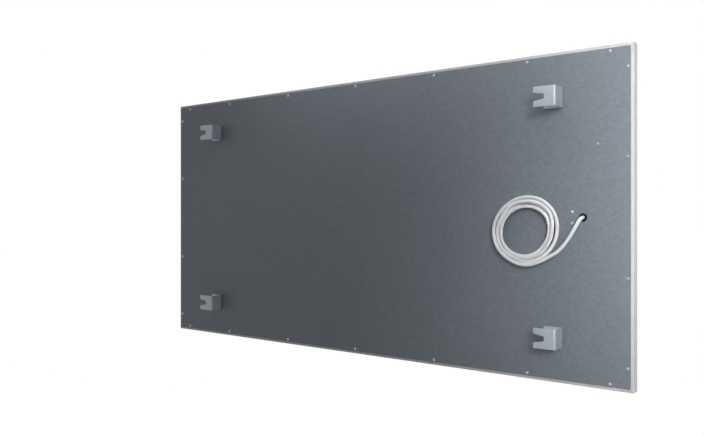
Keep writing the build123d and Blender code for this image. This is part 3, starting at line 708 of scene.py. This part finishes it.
@dataclass
class HookBracket:
    """A bracket bent from sheet: base on the cover, web, and a face on the wall with a tapered notch."""

    node: str
    web: float
    middle: float
    sheet: float = 2.0 * MM
    depth: float = 36.0 * MM
    height: float = 36.4 * MM
    bend: float = 4.6 * MM
    bend_steps: int = 10
    base_length: float = 36.4 * MM
    face_length: float = 41.8 * MM
    notch_depth: float = 20.5 * MM
    notch_mouth: float = 16.0 * MM
    notch_bottom: float = 8.6 * MM
    burr: float = 0.35 * MM
    burr_steps: int = 2
    burr_angle: float = 50.0

    def build(self) -> Piece:
        """Fold the sheet's outside, cut the notch, and give the sheet its thickness and its softened edges.

        Returns:
            The bracket, which stands for its CAD node.
        """
        cover = -self.depth
        piece = start_piece(
            self.node + "_bent", bpy.ops.mesh.primitive_plane_add, size=1.0,
            location=(self.web + self.base_length / 2, cover, self.middle), rotation=(math.pi / 2, 0.0, 0.0),
        )
        bpy.ops.transform.resize(value=(self.base_length, 1.0, self.height))
        bpy.ops.object.mode_set(mode="OBJECT")
        bpy.ops.object.transform_apply(location=True, rotation=True, scale=True)
        bpy.ops.object.mode_set(mode="EDIT")
        self.extrude_edge(piece, cover, (0.0, self.depth, 0.0))
        self.extrude_edge(piece, 0.0, (self.face_length, 0.0, 0.0))
        pick(piece, self.on_web, Part.EDGE)
        bpy.ops.mesh.bevel(offset=self.bend, offset_type="OFFSET", segments=self.bend_steps, profile=0.5)
        self.cut_notch(piece)
        merge_touching()
        bpy.ops.object.mode_set(mode="OBJECT")
        self.thicken(piece)
        apply_change(
            piece, Change.SOFTEN, width=self.burr, segments=self.burr_steps, limit_method="ANGLE",
            angle_limit=math.radians(self.burr_angle),
        )
        settle(piece, BRACKET_ZINC)
        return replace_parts(piece, self.node)

    def on_web(self, edge: bmesh.types.BMEdge) -> bool:
        """Whether an edge runs along Z in the web's plane."""
        first, second = (vertex.co for vertex in edge.verts)
        return same(first.x, self.web) and same(second.x, self.web) and same(first.y, second.y)

    def extrude_edge(self, piece: Piece, y: float, move: Point) -> None:
        """Draw out the web's upright edge at Y by a move."""
        pick(piece, lambda edge: self.on_web(edge) and same(edge.verts[0].co.y, y), Part.EDGE)
        bpy.ops.mesh.extrude_region_move(TRANSFORM_OT_translate={"value": move})

    def cut_notch(self, piece: Piece) -> None:
        """Cut the face along the notch's outline and take out what is inside it.

        Args:
            piece: The folded skin in edit mode.
        """
        bottom = self.web + self.face_length - self.notch_depth
        slope = (self.notch_mouth - self.notch_bottom) / 2 / self.notch_depth

        def on_face(face: bmesh.types.BMFace) -> bool:
            """Whether a face lies in the flat part of the bracket's face."""
            flat = self.web + self.bend - TOUCH
            return all(same(vertex.co.y, 0.0) and vertex.co.x > flat for vertex in face.verts)

        def in_notch(face: bmesh.types.BMFace) -> bool:
            """Whether a face lies inside the notch's outline."""
            spot = face.calc_center_median() - Vector((bottom, 0.0, self.middle))
            return on_face(face) and spot.x > 0 and abs(spot.z) < self.notch_bottom / 2 + slope * spot.x

        for place, normal in (
            ((bottom, 0.0, self.middle), (1.0, 0.0, 0.0)),
            ((bottom, 0.0, self.middle + self.notch_bottom / 2), (-slope, 0.0, 1.0)),
            ((bottom, 0.0, self.middle - self.notch_bottom / 2), (slope, 0.0, 1.0)),
        ):
            pick(piece, on_face, Part.FACE)
            bpy.ops.mesh.bisect(plane_co=place, plane_no=normal)
        pick(piece, in_notch, Part.FACE)
        bpy.ops.mesh.delete(type="FACE")

    def thicken(self, piece: Piece) -> None:
        """Give the folded skin its thickness, towards the inside of the fold.

        Args:
            piece: The folded skin in object mode.
        """
        inside = Vector((self.web + self.depth / 2, -self.depth / 2, self.middle))
        outward = sum((inside - face.center).dot(face.normal) * face.area for face in piece.data.polygons) < 0
        side = -1.0 if outward else 1.0
        apply_change(piece, Change.THICKEN, thickness=self.sheet, offset=side, use_even_offset=True)


@dataclass
class Brackets:
    """The four hook brackets, all opening the same way."""

    near_web: float = -475.4 * MM
    far_web: float = 432.8 * MM
    row_height: float = 217.0 * MM

    def build(self) -> None:
        """Model each bracket in place of its CAD node."""
        for column, web in (("cable_end", self.near_web), ("far_end", self.far_web)):
            for row, side in (("upper", 1), ("lower", -1)):
                HookBracket(f"bracket_{row}_{column}", web, side * self.row_height).build()


# ---------------------------------------- inside


@dataclass
class Inside(KeptNodes):
    """The heating laminate, the insulation and the mains connection inside the casing."""

    dressing: Dressing = (
        (GLASS_FILM, ("front_insulating_film", "rear_insulating_film")),
        (CARBON_STRIP, ("heating_strips",)),
        (BUSBAR_COPPER, ("busbar_upper", "busbar_lower")),
        (TINNED_COPPER, ("busbar_tabs", "earth_ring_terminal")),
        (REFLECTOR_FOIL, ("reflector_foil",)),
        (WOOL_BOARD, ("insulation_board",)),
        (GREY_POLYAMIDE, ("strain_relief_base", "strain_relief_clamp", "junction_box", "junction_box_lid")),
        (NATURAL_POLYAMIDE, ("terminal_block",)),
        (TERMINAL_BRASS, ("terminal_barrels",)),
        (SCREW_ZINC, ("terminal_screws",)),
        (BLACK_PHENOLIC, ("thermal_cutout",)),
        (WHITE_SILICONE, ("live_lead", "cutout_lead", "neutral_lead")),
        (BROWN_CORE, ("live_core",)),
        (BLUE_CORE, ("neutral_core",)),
        (EARTH_CORE, ("earth_core",)),
        (WHITE_SHEATH, ("power_cable_inner",)),
    )


# ---------------------------------------- cable


def swung(vector: Vector, angle: float) -> Vector:
    """A direction swung about Y, with its part along Y left out."""
    cos, sin = math.cos(angle), math.sin(angle)
    return Vector((vector.x * cos - vector.z * sin, 0.0, vector.x * sin + vector.z * cos))


@dataclass
class CableEnd:
    """The cable's stripped end: cores that go on round the last turn, with a crimped ferrule on each."""

    start: Vector
    direction: Vector
    middle: Vector
    cores: tuple[tuple[float, Finish], ...] = ((90.0, BROWN_CORE), (210.0, BLUE_CORE), (330.0, EARTH_CORE))
    core_circle: float = 1.4 * MM
    core_diameter: float = 2.3 * MM
    stripped: float = 22.0 * MM
    ferrule_length: float = 8.0 * MM
    ferrule_diameter: float = 1.9 * MM
    crimps: int = 3
    crimp_waist: float = 0.86
    steps: int = 14
    sides: int = 20

    def build(self) -> list[Piece]:
        """Bend the cores, crimp their ferrules, and join each kind to one piece.

        Returns:
            The cores and the ferrules.
        """
        cores, ferrules = [], []
        inward = (self.middle - self.start).normalized()
        for angle, finish in self.cores:
            turn = math.radians(angle)
            foot = self.start + inward * (self.core_circle * math.cos(turn))
            foot += Vector((0.0, self.core_circle * math.sin(turn), 0.0))
            cores.append(self.core(foot, finish))
            ferrules.append(self.ferrule(foot))
        return [
            self.joined(cores, "cable_end_cores_bent", "cable_end_cores"),
            self.joined(ferrules, "cable_end_ferrules_crimped", "cable_end_ferrules"),
        ]

    def on_axis(self, point: Vector) -> Vector:
        """The middle of the last turn, level with a point."""
        return Vector((self.middle.x, point.y, self.middle.z))

    def swing(self, foot: Vector) -> float:
        """The angle that a core turns through from its foot to its cut end."""
        return self.stripped / (foot - self.on_axis(foot)).length

    def disc(self, name: str, place: Vector, along: Vector, diameter: float) -> Piece:
        """Start a core or ferrule as a round disc that faces along it."""
        return start_piece(
            name, bpy.ops.mesh.primitive_circle_add, vertices=self.sides, radius=diameter / 2,
            fill_type="NGON", location=place, rotation=along.to_track_quat("Z", "Y").to_euler(),
        )

    def core(self, foot: Vector, finish: Finish) -> Piece:
        """Bend one core: a disc spun about the middle of the last turn.

        Args:
            foot: Where the core leaves the jacket.
            finish: The core's finish.

        Returns:
            The core.
        """
        piece = self.disc("core", foot, self.direction, self.core_diameter)
        bpy.ops.mesh.spin(
            steps=self.steps, angle=self.swing(foot), center=self.on_axis(foot), axis=(0.0, -1.0, 0.0),
        )
        merge_touching()
        bpy.ops.mesh.fill_holes(sides=0)
        return settle(piece, finish)

    def ferrule(self, foot: Vector) -> Piece:
        """Crimp one ferrule: a disc drawn out along the core's end, with a waist at each crimp.

        Args:
            foot: Where the ferrule's core leaves the jacket.

        Returns:
            The ferrule.
        """
        swing = self.swing(foot)
        tip = self.on_axis(foot) + swung(foot - self.on_axis(foot), swing)
        along = swung(self.direction, swing)
        piece = self.disc("ferrule", tip, along, self.ferrule_diameter)
        stretch = self.ferrule_length / (4 * self.crimps)
        for _ in range(self.crimps):
            for scale in (1.0, self.crimp_waist, 1.0, 1 / self.crimp_waist):
                bpy.ops.mesh.extrude_region_move(TRANSFORM_OT_translate={"value": along * stretch})
                bpy.ops.transform.resize(value=(scale, scale, scale))
        return settle(piece, TINNED_COPPER)

    @staticmethod
    def joined(parts: list[Piece], name: str, node: str) -> Piece:
        """Join parts to one piece.

        Args:
            parts: The finished parts.
            name: The piece's name.
            node: The CAD node that it stands for.

        Returns:
            The joined piece.
        """
        bpy.ops.object.select_all(action="DESELECT")
        for part in parts:
            part.select_set(True)
        bpy.context.view_layer.objects.active = parts[0]
        bpy.ops.object.join()
        piece = parts[0]
        piece.name = piece.data.name = name
        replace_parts(piece, node)
        return piece


@dataclass
class PowerCable:
    """The free power cable: out of the grommet, down to the coil, and wound up in it on the cover.

    The coil follows the CAD model's even spiral, and each loose turn strays from it. The upper layer's
    strays are set after the photo, and the lower layer's are chosen, as the photo hides most of it. The
    lower layer leans to the far end, and the lead rides in on top of the second turn. The lead's points
    are given in mm: along X and up from the outlet, and out from the cover. The strays are in mm too,
    outwards at each twelfth of a turn from the outer start.
    """

    outlet: Point = OUTLET
    diameter: float = 6.4 * MM
    grommet_collar: float = 2.0 * MM
    lead: tuple[Point, ...] = (
        (0.2, -0.6, 7.6), (2.6, -5.2, 12.0), (7.4, -14.6, 13.2), (15.6, -28.6, 13.4), (28.3, -47.4, 13.0),
        (42.0, -62.4, 13.2),
    )
    last_run: float = 11.0 * MM
    coil_x: float = -408.0 * MM
    coil_z: float = -22.0 * MM
    start_radius: float = 67.0 * MM
    start_angle: float = -120.0
    turn_pitch: float = 8.0 * MM
    layer_pitch: float = 7.6 * MM
    seat_gap: float = 0.3 * MM
    turns_inwards: float = 2.5
    turns_sinking: float = 0.5
    turns_outwards: float = 2.0
    strays_per_turn: int = 12
    strays: tuple[float, ...] = (
        -2.2, -0.8, -0.7, 1.9, 1.2, -2.4, -4.0, -2.6, 0.4, 1.9, 0.3, -0.5,
        0.7, 1.2, 0.3, 3.8, 1.2, -3.4, -1.8, -1.9, 1.4, 2.6, -1.6, -1.3,
        0.6, 1.9, 3.0, 4.6, 1.0, -1.6, -3.6, -3.4, -0.9, 2.9, 2.0, 1.0,
        1.4, 2.4, 2.4, 2.3, -1.5, -5.6, -4.0, -1.3, 0.8, 3.0, 0.0, -1.4,
        0.0, 0.5, 0.7, 0.5, -2.6, -6.6, -3.0, 0.3, 2.9, 3.9, 1.9, -0.8,
        -2.0,
    )
    layer_lean: float = 6.0 * MM
    entry_lift: float = 3.0 * MM
    entry_turns: float = 0.3
    hump_at: float = 3.63
    hump_lift: float = 3.0 * MM
    hump_turns: float = 0.2
    points_per_turn: int = 24
    control_allowance: float = 1.0086
    tangent_step: float = 0.0025
    round_steps: int = 6
    length_steps: int = 5

    @property
    def turns(self) -> float:
        """All the coil's turns."""
        return self.turns_inwards + self.turns_sinking + self.turns_outwards

    @property
    def bottom_layer(self) -> float:
        """Y of the centre line in the layer on the cover."""
        return self.outlet[1] + self.seat_gap + self.diameter / 2

    @property
    def last_middle(self) -> Vector:
        """The middle of the last turn, in the layer on the cover."""
        return Vector((self.coil_x + self.layer_lean, self.bottom_layer, self.coil_z))

    @property
    def jacket_end(self) -> Vector:
        """Where the jacket ends, one diameter past the coil's last turn."""
        return self.loose_point(self.turns) + self.direction(self.turns) * self.diameter

    def coil_point(self, turn: float) -> Vector:
        """A point of the coil's even spiral.

        Args:
            turn: The place along it, counted in turns from its outer start.

        Returns:
            The point on the centre line.
        """
        reversal = self.turns_inwards + self.turns_sinking / 2
        inwards = min(turn, 2 * reversal - turn)
        radius = self.start_radius - self.turn_pitch * inwards
        sunk = min(max((turn - self.turns_inwards) / self.turns_sinking, 0.0), 1.0)
        angle = math.radians(self.start_angle + 360 * turn)
        top = self.bottom_layer + self.layer_pitch
        return Vector((
            self.coil_x + radius * math.cos(angle),
            top - self.layer_pitch * sunk,
            self.coil_z + radius * math.sin(angle),
        ))

    def stray(self, turn: float) -> float:
        """How far the cable lies outside the even spiral.

        Args:
            turn: The place along the coil, in turns.

        Returns:
            The distance, between the strays on both sides of that place.
        """
        place = turn * self.strays_per_turn
        before = min(int(place), len(self.strays) - 1)
        after = min(before + 1, len(self.strays) - 1)
        return (self.strays[before] + (self.strays[after] - self.strays[before]) * (place - before)) * MM

    def loose_point(self, turn: float) -> Vector:
        """A control point of the loose coil.

        Args:
            turn: The place along the coil, in turns.

        Returns:
            The point, strayed, leaning and lifted off the even spiral.
        """
        even = self.coil_point(turn)
        middle = Vector((self.coil_x, even.y, self.coil_z))
        out = even - middle
        point = middle + out * self.control_allowance + out.normalized() * self.stray(turn)
        sunk = (self.bottom_layer + self.layer_pitch - even.y) / self.layer_pitch
        lift = self.entry_lift * max(1.0 - turn / self.entry_turns, 0.0)
        lift += self.hump_lift * max(1.0 - abs(turn - self.hump_at) / self.hump_turns, 0.0)
        return point + Vector((self.layer_lean * sunk, lift, 0.0))

    def direction(self, turn: float) -> Vector:
        """The coil's direction at either end.

        Args:
            turn: The end's place, in turns.

        Returns:
            The direction, level with the layer.
        """
        ahead = self.coil_point(min(turn + self.tangent_step, self.turns))
        along = ahead - self.coil_point(max(turn - self.tangent_step, 0.0))
        return Vector((along.x, 0.0, along.z)).normalized()

    def route(self) -> list[Vector]:
        """Lay the whole cable's route.

        Returns:
            Its control points, from the grommet's collar to the end of the jacket.
        """
        x, cover, z = self.outlet
        points = [Vector((x, cover + self.grommet_collar, z))]
        points += [Vector((x + along * MM, cover + out * MM, z + up * MM)) for along, up, out in self.lead]
        start = self.loose_point(0.0) - self.direction(0.0) * self.diameter
        points += [start - self.direction(0.0) * self.last_run, start]
        steps = round(self.turns * self.points_per_turn)
        points += [self.loose_point(self.turns * i / steps) for i in range(steps + 1)]
        return points + [self.jacket_end]

    def build(self) -> None:
        end_pieces = CableEnd(self.jacket_end, self.direction(self.turns), self.last_middle).build()
        points = self.route()
        curve = bpy.data.curves.new("power_cable", "CURVE")
        curve.dimensions = "3D"
        curve.bevel_depth = self.diameter / 2
        curve.bevel_resolution = self.round_steps
        curve.resolution_u = self.length_steps
        curve.use_fill_caps = True
        spline = curve.splines.new("NURBS")
        spline.points.add(len(points) - 1)
        for target, point in zip(spline.points, points):
            target.co = (*point, 1.0)
        spline.order_u = 3
        spline.use_endpoint_u = True
        cable = bpy.data.objects.new("power_cable", curve)
        bpy.context.scene.collection.objects.link(cable)
        curve.materials.append(Finishes.get(WHITE_SHEATH))
        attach(cable, "root")
        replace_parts(cable, "power_cable_lead", "power_cable_coil")
        LOG.info("made power_cable: %d control points", len(points))


@dataclass
class Grommet:
    """The rubber ring in the cover round the cable: flange and collar outside, neck, and flange inside.

    The section is given in mm as radius and stand from the cover's outside, from the bore outwards.
    """

    outlet: Point = OUTLET
    section: tuple[tuple[float, float], ...] = (
        (3.3, 2.0), (4.8, 2.0), (5.2, 1.3), (7.0, 1.3), (7.5, 0.8), (7.5, 0.0), (5.45, 0.0), (5.45, -0.8),
        (6.7, -0.8), (6.7, -2.3), (3.3, -2.3), (3.3, 2.0),
    )
    sides: int = 64
    rounding: float = 0.25 * MM
    rounding_steps: int = 3
    rounding_angle: float = 25.0

    def build(self) -> Piece:
        """Draw the section round the bore and round its edges.

        Returns:
            The grommet, which stands for its CAD node.
        """
        x, cover, z = self.outlet
        radius, stand = self.section[0]
        piece = start_piece(
            "cable_grommet_moulded", bpy.ops.mesh.primitive_circle_add, vertices=self.sides,
            radius=radius * MM, location=(x, cover + stand * MM, z), rotation=(math.pi / 2, 0.0, 0.0),
        )
        for next_radius, next_stand in self.section[1:]:
            move = (0.0, (next_stand - stand) * MM, 0.0)
            bpy.ops.mesh.extrude_region_move(TRANSFORM_OT_translate={"value": move})
            scale = next_radius / radius
            bpy.ops.transform.resize(value=(scale, 1.0, scale), center_override=(x, cover, z))
            radius, stand = next_radius, next_stand
        merge_touching()
        bpy.ops.mesh.normals_make_consistent(inside=False)
        bpy.ops.object.mode_set(mode="OBJECT")
        apply_change(
            piece, Change.SOFTEN, width=self.rounding, segments=self.rounding_steps, limit_method="ANGLE",
            angle_limit=math.radians(self.rounding_angle),
        )
        settle(piece, BLACK_RUBBER)
        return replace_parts(piece, "cable_grommet")


# ---------------------------------------- stage


@dataclass(frozen=True)
class Lamp:
    """A soft rectangular lamp, with its place, what it looks at and its beam's spread in degrees."""

    name: str
    place: Point
    aim: Point
    width: float
    height: float
    watts: float
    spread: float = 180.0

    def build(self) -> None:
        """Add the lamp to the scene."""
        light = bpy.data.lights.new(self.name, "AREA")
        light.shape = "RECTANGLE"
        light.size = self.width
        light.size_y = self.height
        light.energy = self.watts
        light.spread = math.radians(self.spread)
        lamp = bpy.data.objects.new(self.name, light)
        bpy.context.scene.collection.objects.link(lamp)
        lamp.location = self.place
        lamp.rotation_euler = (Vector(self.aim) - Vector(self.place)).to_track_quat("-Z", "Y").to_euler()


@dataclass
class Studio:
    """A plain pale floor, soft lamps, a white background and the camera."""

    floor_height: float = -1.6
    floor_size: float = 60.0
    floor_colour: Colour = (0.86, 0.86, 0.86)
    floor_roughness: float = 0.9
    floor_glow: float = 1.15
    floor_glow_share: float = 0.85
    world_light: float = 0.12
    lamps: tuple[Lamp, ...] = (
        Lamp("key_lamp", (-1.25, 0.8, 0.36), (-0.75, 0.0, 0.07), 0.4, 0.8, watts=1.74, spread=39.0),
        Lamp("top_lamp", (-0.3, 0.16, 0.46), (-0.3, 0.0, 0.28), 1.1, 0.12, watts=0.75),
        Lamp("rear_lamp", (1.6, 1.9, 0.6), (0.1, 0.0, 0.0), 1.4, 1.4, watts=1.2),
        Lamp("front_lamp", (1.2, -3.0, 1.3), (0.0, 0.0, 0.0), 2.2, 2.2, watts=125.0),
    )
    camera_place: Point = (-0.9911, 1.2417, 0.0)
    camera_aim: Point = (0.6163, -0.7875, 0.0)
    lens: float = 37.5
    sensor_width: float = 36.0

    def build(self) -> None:
        """Set the stage."""
        self.add_world()
        self.add_floor()
        for lamp in self.lamps:
            lamp.build()
        self.add_camera()
        bpy.context.scene.view_settings.view_transform = "Standard"

    @staticmethod
    def shown(tree: bpy.types.NodeTree) -> Socket:
        """Tell rays that show a surface from rays that it only lights.

        Args:
            tree: The nodes of the world or of a material.

        Returns:
            A factor of 1 for rays from the camera and for reflected and refracted ones, or else 0.
        """
        rays = tree.nodes.new("ShaderNodeLightPath").outputs
        total = rays["Is Camera Ray"]
        for name in ("Is Glossy Ray", "Is Transmission Ray"):
            either = tree.nodes.new("ShaderNodeMath")
            either.operation = Sum.MAXIMUM.value
            tree.links.new(total, either.inputs[0])
            tree.links.new(rays[name], either.inputs[1])
            total = either.outputs[0]
        return total

    def add_world(self) -> None:
        """Add a white background that lights the object softly."""
        world = bpy.data.worlds.new("studio")
        bpy.context.scene.world = world
        world.use_nodes = True
        tree = world.node_tree
        light = tree.nodes["Background"]
        backdrop = tree.nodes.new("ShaderNodeBackground")
        for background, strength in ((light, self.world_light), (backdrop, 1.0)):
            background.inputs["Color"].default_value = (1.0, 1.0, 1.0, 1.0)
            background.inputs["Strength"].default_value = strength
        mix = tree.nodes.new("ShaderNodeMixShader")
        tree.links.new(self.shown(tree), mix.inputs[0])
        tree.links.new(light.outputs[0], mix.inputs[1])
        tree.links.new(backdrop.outputs[0], mix.inputs[2])
        tree.links.new(mix.outputs[0], tree.nodes["World Output"].inputs["Surface"])

    def add_floor(self) -> None:
        """Add a pale floor well below the panel, as under a heater on a wall."""
        bpy.ops.object.select_all(action="DESELECT")
        bpy.ops.mesh.primitive_plane_add(size=self.floor_size, location=(0.0, 0.0, self.floor_height))
        floor = bpy.context.object
        floor.name = "floor"
        board = NodeBoard("pale_floor")
        board.finish(Base_Color=self.floor_colour, Roughness=self.floor_roughness)
        glow = board.add("ShaderNodeEmission", {"Strength": self.floor_glow})
        share = board.maths(Sum.MULTIPLY, self.shown(board.tree), self.floor_glow_share)
        mix = board.add("ShaderNodeMixShader", {0: share, 1: board.shader.outputs[0], 2: glow.outputs[0]})
        board.tree.links.new(mix.outputs[0], board.tree.nodes["Material Output"].inputs["Surface"])
        floor.data.materials.append(board.material)

    def add_camera(self) -> None:
        """Add the camera of the photo's rear view: level, behind the cable end."""
        data = bpy.data.cameras.new("camera")
        data.lens = self.lens
        data.sensor_width = self.sensor_width
        camera = bpy.data.objects.new("camera", data)
        bpy.context.scene.collection.objects.link(camera)
        camera.location = self.camera_place
        camera.rotation_euler = Vector(self.camera_aim).to_track_quat("-Z", "Y").to_euler()
        bpy.context.scene.camera = camera


def main() -> None:
    """Build and dress the heater."""
    logging.basicConfig(level=logging.INFO, format="%(message)s")
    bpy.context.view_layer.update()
    Studio().build()
    PowerCable().build()
    Grommet().build()
    Casing().build()
    Brackets().build()
    Inside().build()


if __name__ == "__main__":
    main()
